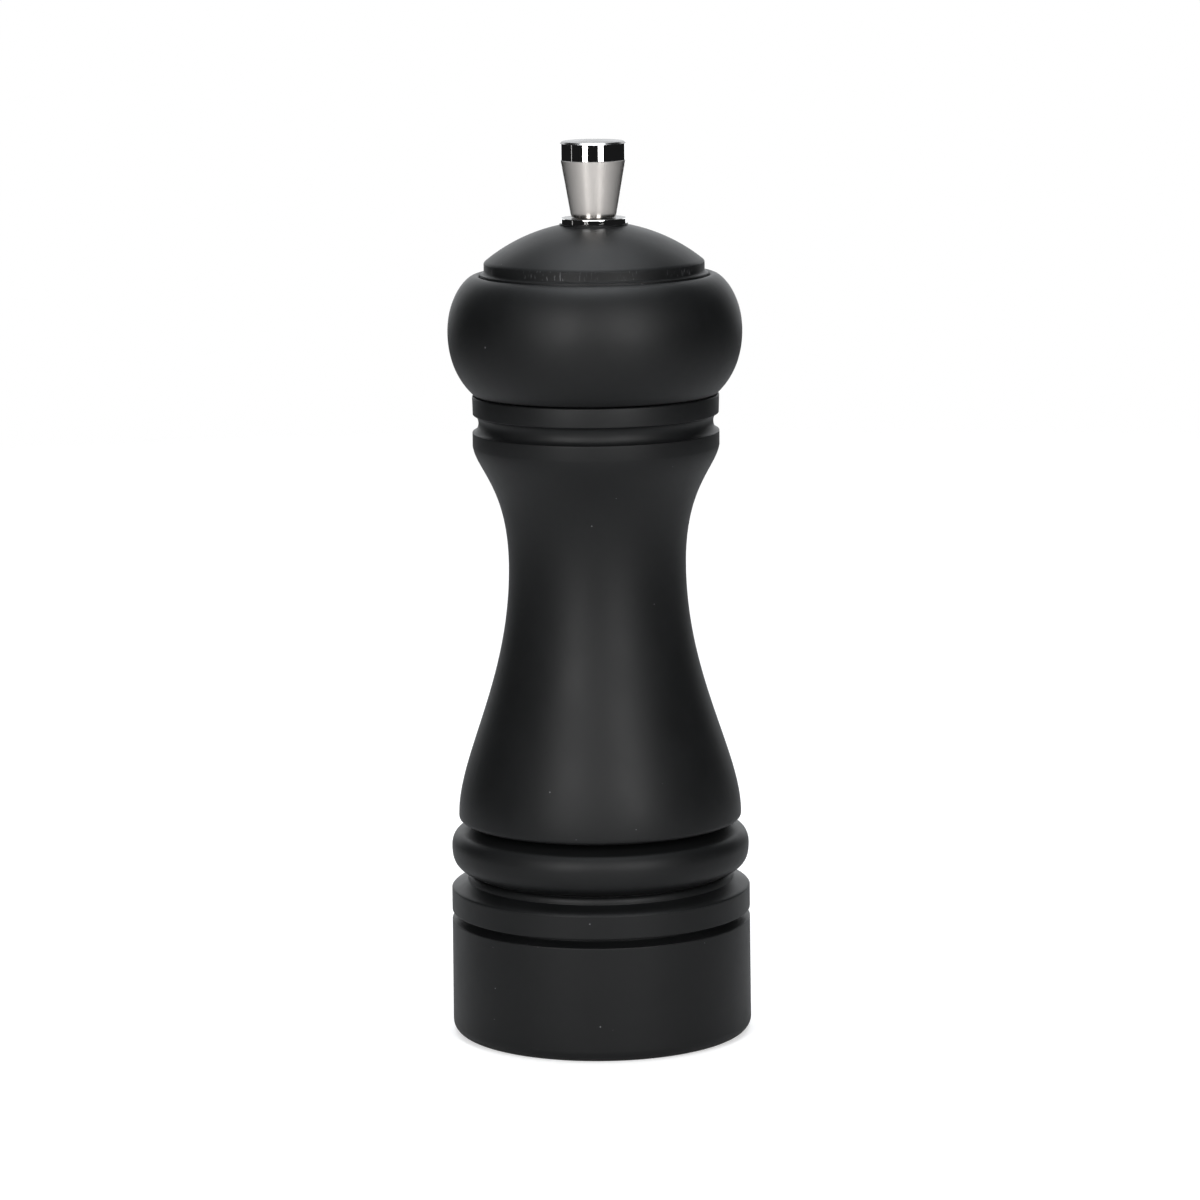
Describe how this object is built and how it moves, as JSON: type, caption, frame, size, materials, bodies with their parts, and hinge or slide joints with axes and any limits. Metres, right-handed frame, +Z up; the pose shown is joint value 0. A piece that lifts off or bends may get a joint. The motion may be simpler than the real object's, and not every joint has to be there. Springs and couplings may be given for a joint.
{
  "type": "pepper mill",
  "caption": "Turned hand pepper mill: bored body, rotating domed head, steel knob for the grind, square spindle, and a cone and ring grinder held in the base by a flange and strap.",
  "frame": {"origin": "centre of the foot, on the surface the mill stands on", "axes": "+Z up along the spindle; +X towards one of the screws of the grinder's flange, and the strap under the grinder lies along Y"},
  "size_m": [0.0606, 0.0606, 0.1804],
  "materials": {
    "lacquered_wood": "satin black lacquer on turned beech",
    "polished_steel": "polished",
    "brushed_steel": "turned and brushed, with a polished band",
    "brass": "turned",
    "spindle_steel": "drawn bar",
    "plated_steel": "pressed and zinc plated",
    "burr_steel": "hardened, dark",
    "screw_steel": "zinc plated",
    "spring_steel": "bright drawn wire",
    "bush_plastic": "natural acetal"
  },
  "bodies": {
    "mill_body": {"body_shell": "lacquered_wood", "grinder_housing": "plated_steel", "stator": "burr_steel", "upper_bridge": "plated_steel", "upper_bush": "bush_plastic", "lower_bridge": "plated_steel", "lower_bush": "bush_plastic", "housing_screws": "screw_steel", "bridge_screws": "screw_steel"},
    "drive": {"thrust_washer": "brass", "grinder_spring": "spring_steel"},
    "spindle_group": {"spindle": "spindle_steel", "rotor": "burr_steel", "spring_seat": "brass", "rotor_washer": "screw_steel", "rotor_clip": "spring_steel"},
    "head_group": {"head": "lacquered_wood", "collar_ring": "polished_steel", "drive_plate": "plated_steel", "drive_plate_screws": "screw_steel"},
    "knob_group": {"knob": "brushed_steel", "knob_insert": "brass"}
  },
  "joints": [
    {"name": "grind_turn", "type": "hinge", "parent": "mill_body", "child": "drive", "pos_m": [0, 0, 0.03], "axis": [0, 0, 1], "continuous": true},
    {"name": "burr_gap", "type": "slide", "parent": "drive", "child": "spindle_group", "axis": [0, 0, 1], "range_m": [-0.0012, 0.0008], "deforming": ["grinder_spring"]},
    {"name": "head_lift", "type": "slide", "parent": "drive", "child": "head_group", "axis": [0, 0, 1], "range_m": [0, 0.065]},
    {"name": "knob_turn", "type": "hinge", "parent": "head_group", "child": "knob_group", "pos_m": [0, 0, 0.17], "axis": [0, 0, 1], "range_deg": [-360, 540]}
  ],
  "couplings": [
    {"joint": "knob_turn", "follows": "burr_gap", "rad_per_m": -7854}
  ]
}
